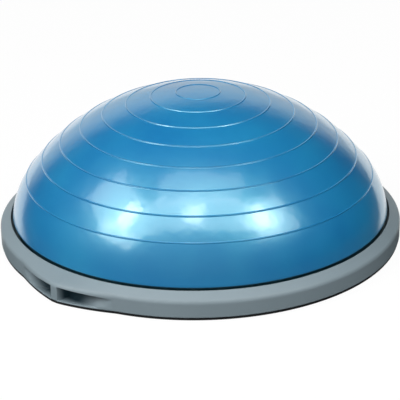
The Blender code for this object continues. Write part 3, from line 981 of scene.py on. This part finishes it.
def valve_seat():
    bore = PLUG_RADIUS + GAP
    tube = (bore + VALVE_RADIUS) / 2
    wall_face = -BALL_WALL - GAP
    section = rounded(
        [
            (bore, VALVE_LIP + GAP, BORE_ROUND),
            (VALVE_LIP_RADIUS, VALVE_LIP + GAP, VALVE_LIP_ROUND),
            (VALVE_LIP_RADIUS, GAP, VALVE_BASE_ROUND),
            (VALVE_RADIUS, GAP, 0),
            (VALVE_RADIUS, wall_face, 0),
            (VALVE_FLANGE_RADIUS, wall_face, FLANGE_ROUND),
            (VALVE_FLANGE_RADIUS, wall_face - VALVE_LIP, FLANGE_ROUND),
            (tube, wall_face - VALVE_LIP, TUBE_ROOT),
            (tube, -VALVE_DEPTH, BORE_ROUND),
            (bore, -VALVE_DEPTH, BORE_ROUND),
        ]
    )
    bm = bmesh.new()
    turn(bm, section, VALVE_STEPS, closed=True)
    bmesh.ops.transform(bm, matrix=valve_place(), verts=bm.verts)
    return bm


def soft_vinyl():
    """Soft vinyl without the pearl pigment, moulded: satin, and a little darker than the ball's skin."""
    skin_size = 0.0015
    skin_depth = 0.00002
    material, tree, place = start_material("soft_moulded_vinyl")
    skin = add_node(tree, "ShaderNodeTexNoise", inputs={"Vector": place, "Scale": 1 / skin_size})
    satin = add_node(
        tree, "ShaderNodeMapRange", inputs={"Value": skin.outputs[0], "To Min": 0.34, "To Max": 0.46}
    )
    bump = add_node(tree, "ShaderNodeBump", inputs={"Distance": skin_depth, "Height": skin.outputs[0]})
    finish_material(
        tree,
        {
            "Base Color": linear(SEAT_BLUE),
            "Roughness": satin.outputs["Result"],
            "IOR": 1.53,
            "Normal": bump.outputs["Normal"],
        },
    )
    return material


finish_piece(valve_seat(), "valve_bushing", soft_vinyl(), "trainer", ["valve_seat"])


# Valve plug
# Moulded in white polyethylene: a flat head with a dished top to push on, and a stem with three sealing ribs
# and a tapered tip. It slides straight out of the bushing.

PLUG_LENGTH = 0.018
PLUG_TIP_RADIUS = 0.0020
PLUG_TAPER = 0.0034
PLUG_HEAD_RADIUS = 0.0070
PLUG_HEAD_THICKNESS = 0.0022
DISH_RADIUS = 0.0042
DISH_DEPTH = 0.0007
STEM_RIBS = 3
STEM_RIB = 0.00015
STEM_RIB_PITCH = 0.0030
STEM_RIB_HALF_WIDTH = 4 * STEM_RIB
PLUG_HEAD_ROUND = 0.0009
PLUG_EDGE_ROUND = 0.0003
TIP_ROUND = 0.0004

PLUG_WHITE = "E4E4E0"


def valve_plug():
    face = VALVE_LIP + 2 * GAP
    top = face + PLUG_HEAD_THICKNESS
    tip = face - PLUG_LENGTH
    stem = PLUG_RADIUS - STEM_RIB
    corners = [
        (0, top - DISH_DEPTH, 0),
        (DISH_RADIUS - DISH_DEPTH, top - DISH_DEPTH, DISH_DEPTH),
        (DISH_RADIUS, top, PLUG_EDGE_ROUND),
        (PLUG_HEAD_RADIUS, top, PLUG_HEAD_ROUND),
        (PLUG_HEAD_RADIUS, face, PLUG_EDGE_ROUND),
        (stem, face, PLUG_EDGE_ROUND),
    ]
    for rib in range(1, STEM_RIBS + 1):
        height = face - rib * STEM_RIB_PITCH
        corners += [
            (stem, height + STEM_RIB_HALF_WIDTH, 0),
            (PLUG_RADIUS, height, STEM_RIB),
            (stem, height - STEM_RIB_HALF_WIDTH, 0),
        ]
    corners += [(stem, tip + PLUG_TAPER, TIP_ROUND), (PLUG_TIP_RADIUS, tip, TIP_ROUND), (0, tip, 0)]
    bm = bmesh.new()
    turn(bm, rounded(corners), VALVE_STEPS)
    bmesh.ops.transform(bm, matrix=valve_place(), verts=bm.verts)
    return bm


def white_polyethylene():
    """Low-density polyethylene, moulded: white, waxy and slightly see-through at its edges."""
    wax_size = 0.0025
    wax_depth = 0.00002
    material, tree, place = start_material("moulded_white_polyethylene")
    wax = add_node(tree, "ShaderNodeTexNoise", inputs={"Vector": place, "Scale": 1 / wax_size})
    satin = add_node(
        tree, "ShaderNodeMapRange", inputs={"Value": wax.outputs[0], "To Min": 0.30, "To Max": 0.44}
    )
    bump = add_node(tree, "ShaderNodeBump", inputs={"Distance": wax_depth, "Height": wax.outputs[0]})
    finish_material(
        tree,
        {
            "Base Color": linear(PLUG_WHITE),
            "Roughness": satin.outputs["Result"],
            "IOR": 1.51,
            "Subsurface Weight": 0.15,
            "Subsurface Radius": (0.002, 0.002, 0.002),
            "Subsurface Scale": 1.0,
            "Normal": bump.outputs["Normal"],
        },
    )
    return material


finish_piece(valve_plug(), "plug", white_polyethylene(), "plug", ["valve_plug"])


# Studio
# A floor and a backdrop that are white to the camera. Five wide soft boxes light the ball, and three small
# ones give it its highlights. Its edges mirror the white floor and wall behind it, the rest of it mirrors a
# dim room, and the fill light comes from the front left.

FLOOR_SIZE = 16.0
FLOOR_WHITE = "F2F2F2"
FLOOR_BOUNCE = "404040"
FLOOR_SHOWN_WHITE = 0.93
BACKDROP_AZIMUTH = 182.5
# The wedge of floor that reflections find white: its half width beside the object, how far back it goes to
# widen by a metre, and how far inside its edge it is dark and white
WEDGE_HALF_WIDTH = 0.395
WEDGE_SLOPE = 1.2
WEDGE_DARK = -0.07
WEDGE_WHITE = 0.03

FLOOR_GLOSS = 1.12
BACKDROP_GLOSS = 0.64
ROOM_GLOSS = 0.02
# Cosines of the angles from the middle of the wall behind where it is dark and white
WALL_DARK = math.cos(math.radians(42))
WALL_WHITE = math.cos(math.radians(24))
FILL_BRIGHT = 1.66
FILL_DIM = 0.05
FILL_EDGE = -0.2
FILL_AZIMUTH = -27
FILL_ELEVATION = 12
LAMP_DISTANCE = 2.4
# The power of an area lamp for each unit of its area and of the radiance that it shows
LAMP_POWER = 4

CAMERA_AZIMUTH = math.radians(-49.605)
CAMERA_ELEVATION = math.radians(23.407)
CAMERA_DISTANCE = 2.6
CAMERA_ROLL = math.radians(-1.048)
CAMERA_LENS = 143.33
SENSOR = 36.0
TARGET_RIGHT = 0.000219
TARGET_HEIGHT = 0.05232


def towards(azimuth, elevation):
    """Unit vector at an azimuth, counted from the camera's side to the picture's right, and an elevation."""
    turn_to = CAMERA_AZIMUTH + math.radians(azimuth)
    rise = math.radians(elevation)
    return Vector((math.sin(turn_to) * math.cos(rise), -math.cos(turn_to) * math.cos(rise), math.sin(rise)))


def glossy_or_clear(tree, path):
    """1 for a ray that comes from a reflection or through something clear."""
    either = add_node(
        tree,
        "ShaderNodeMath",
        {"operation": "MAXIMUM"},
        {0: path.outputs["Is Glossy Ray"], 1: path.outputs["Is Transmission Ray"]},
    )
    return either.outputs[0]


def studio_floor():
    """A painted floor: plain white to the camera, which keeps the object's shadow faint.

    Reflections find a white wedge behind the object and the rest dim, and it throws little light back.
    """
    bm = bmesh.new()
    bmesh.ops.create_grid(bm, x_segments=1, y_segments=1, size=FLOOR_SIZE / 2)
    mesh = bpy.data.meshes.new("floor")
    bm.to_mesh(mesh)
    bm.free()
    floor = bpy.data.objects.new("floor", mesh)
    bpy.context.scene.collection.objects.link(floor)
    material = bpy.data.materials.new("painted_floor")
    material.use_nodes = True
    tree = material.node_tree
    tree.nodes.clear()
    path = add_node(tree, "ShaderNodeLightPath")
    camera = path.outputs["Is Camera Ray"]
    place = add_node(tree, "ShaderNodeTexCoord").outputs["Object"]
    # How far a place is behind the object and to its side, and from these how far inside the wedge
    behind, aside = (
        add_node(
            tree, "ShaderNodeVectorMath", {"operation": "DOT_PRODUCT"}, {0: place, 1: towards(azimuth, 0)}
        ).outputs["Value"]
        for azimuth in (BACKDROP_AZIMUTH, BACKDROP_AZIMUTH - 90)
    )
    off_centre = add_node(tree, "ShaderNodeMath", {"operation": "ABSOLUTE"}, {0: aside}).outputs[0]
    beside = add_node(
        tree, "ShaderNodeMath", {"operation": "SUBTRACT"}, {0: off_centre, 1: WEDGE_HALF_WIDTH}
    ).outputs[0]
    inside = add_node(
        tree, "ShaderNodeMath", {"operation": "MULTIPLY_ADD"}, {0: beside, 1: -WEDGE_SLOPE, 2: behind}
    ).outputs[0]
    within = add_node(tree, "ShaderNodeMath", {"operation": "MINIMUM"}, {0: inside, 1: behind}).outputs[0]
    lit = add_node(
        tree,
        "ShaderNodeMapRange",
        {"interpolation_type": "SMOOTHSTEP"},
        {"Value": within, "From Min": WEDGE_DARK, "From Max": WEDGE_WHITE, "To Max": FLOOR_GLOSS},
    ).outputs["Result"]
    gloss = glossy_or_clear(tree, path)
    mirrored = add_node(tree, "ShaderNodeMath", {"operation": "MULTIPLY"}, {0: gloss, 1: lit})
    share = add_node(
        tree,
        "ShaderNodeMath",
        {"operation": "MULTIPLY_ADD"},
        {0: camera, 1: FLOOR_SHOWN_WHITE, 2: mirrored.outputs[0]},
    )
    colour = add_node(
        tree,
        "ShaderNodeMix",
        {"data_type": "RGBA"},
        {0: camera, 6: linear(FLOOR_BOUNCE), 7: linear(FLOOR_WHITE)},
    )
    paint = add_node(tree, "ShaderNodeBsdfDiffuse", inputs={"Color": colour.outputs[2]})
    white = add_node(tree, "ShaderNodeEmission", inputs={"Color": (1, 1, 1, 1), "Strength": 1.0})
    mixed = add_node(
        tree,
        "ShaderNodeMixShader",
        inputs={0: share.outputs[0], 1: paint.outputs["BSDF"], 2: white.outputs["Emission"]},
    )
    add_node(tree, "ShaderNodeOutputMaterial", inputs={"Surface": mixed.outputs["Shader"]})
    mesh.materials.append(material)


def studio_backdrop():
    """White to the camera, with a fill from the front left. Reflections find a white wall in a dim room."""
    world = bpy.data.worlds.new("studio")
    world.use_nodes = True
    bpy.context.scene.world = world
    tree = world.node_tree
    tree.nodes.clear()
    path = add_node(tree, "ShaderNodeLightPath")
    direction = add_node(tree, "ShaderNodeTexCoord").outputs["Generated"]

    def level(centre, edge, middle, dim, bright):
        """Rises from dim to bright as the cosine of the angle to the centre goes from edge to middle."""
        facing = add_node(
            tree, "ShaderNodeVectorMath", {"operation": "DOT_PRODUCT"}, {0: direction, 1: centre}
        ).outputs["Value"]
        return add_node(
            tree,
            "ShaderNodeMapRange",
            {"interpolation_type": "SMOOTHSTEP"},
            {"Value": facing, "From Min": edge, "From Max": middle, "To Min": dim, "To Max": bright},
        ).outputs["Result"]

    fill = level(towards(FILL_AZIMUTH, FILL_ELEVATION), FILL_EDGE, 1.0, FILL_DIM, FILL_BRIGHT)
    room = level(towards(BACKDROP_AZIMUTH, 0), WALL_DARK, WALL_WHITE, ROOM_GLOSS, BACKDROP_GLOSS)
    gloss = glossy_or_clear(tree, path)
    lit = add_node(tree, "ShaderNodeMix", {"data_type": "FLOAT"}, {0: gloss, 2: fill, 3: room})
    shown = add_node(
        tree,
        "ShaderNodeMix",
        {"data_type": "FLOAT"},
        {0: path.outputs["Is Camera Ray"], 2: lit.outputs[0], 3: 1.0},
    )
    background = add_node(
        tree, "ShaderNodeBackground", inputs={"Color": (1, 1, 1, 1), "Strength": shown.outputs[0]}
    )
    add_node(tree, "ShaderNodeOutputWorld", inputs={"Surface": background.outputs["Background"]})


def soft_box(name, azimuth, elevation, width, height, radiance):
    """A soft box that faces the ball's middle. Its radiance is the brightness that a mirror would show."""
    lamp = bpy.data.lights.new(name, "AREA")
    lamp.shape = "RECTANGLE"
    lamp.size = width
    lamp.size_y = height
    lamp.energy = radiance * LAMP_POWER * width * height
    box = bpy.data.objects.new(name, lamp)
    bpy.context.scene.collection.objects.link(box)
    back = towards(azimuth, elevation)
    box.location = Vector((0, 0, BALL_HEIGHT / 2)) + LAMP_DISTANCE * back
    box.rotation_euler = back.to_track_quat("Z", "Y").to_euler()


def studio_camera():
    """A long lens aimed just above the rim, with one grip on the left of the picture and a slight roll."""
    back = towards(0, math.degrees(CAMERA_ELEVATION))
    right = Vector((math.cos(CAMERA_AZIMUTH), math.sin(CAMERA_AZIMUTH), 0.0))
    lens = bpy.data.cameras.new("camera")
    lens.lens = CAMERA_LENS
    lens.sensor_width = SENSOR
    camera = bpy.data.objects.new("camera", lens)
    bpy.context.scene.collection.objects.link(camera)
    camera.location = TARGET_RIGHT * right + Vector((0, 0, TARGET_HEIGHT)) + CAMERA_DISTANCE * back
    camera.rotation_mode = "QUATERNION"
    camera.rotation_quaternion = back.to_track_quat("Z", "Y") @ Quaternion((0, 0, 1), CAMERA_ROLL)
    bpy.context.scene.camera = camera


studio_floor()
studio_backdrop()
soft_box("overhead", 0, 62, width=4.2, height=0.8, radiance=1.42)
soft_box("ceiling", 0, 77, width=1.7, height=0.8, radiance=0.95)
soft_box("left_low", -58, 35, width=1.0, height=0.6, radiance=2.2)
soft_box("left_panel", -80, 48, width=1.2, height=0.9, radiance=1.5)
soft_box("right_panel", 56, 46, width=1.1, height=0.9, radiance=1.5)
soft_box("left_box", -61, 49, width=0.38, height=0.56, radiance=4.4)
soft_box("middle_box", -6, 61, width=0.36, height=0.44, radiance=3.8)
soft_box("right_box", 51, 50, width=0.37, height=0.50, radiance=4.4)
studio_camera()
bpy.context.scene.view_settings.view_transform = "Standard"
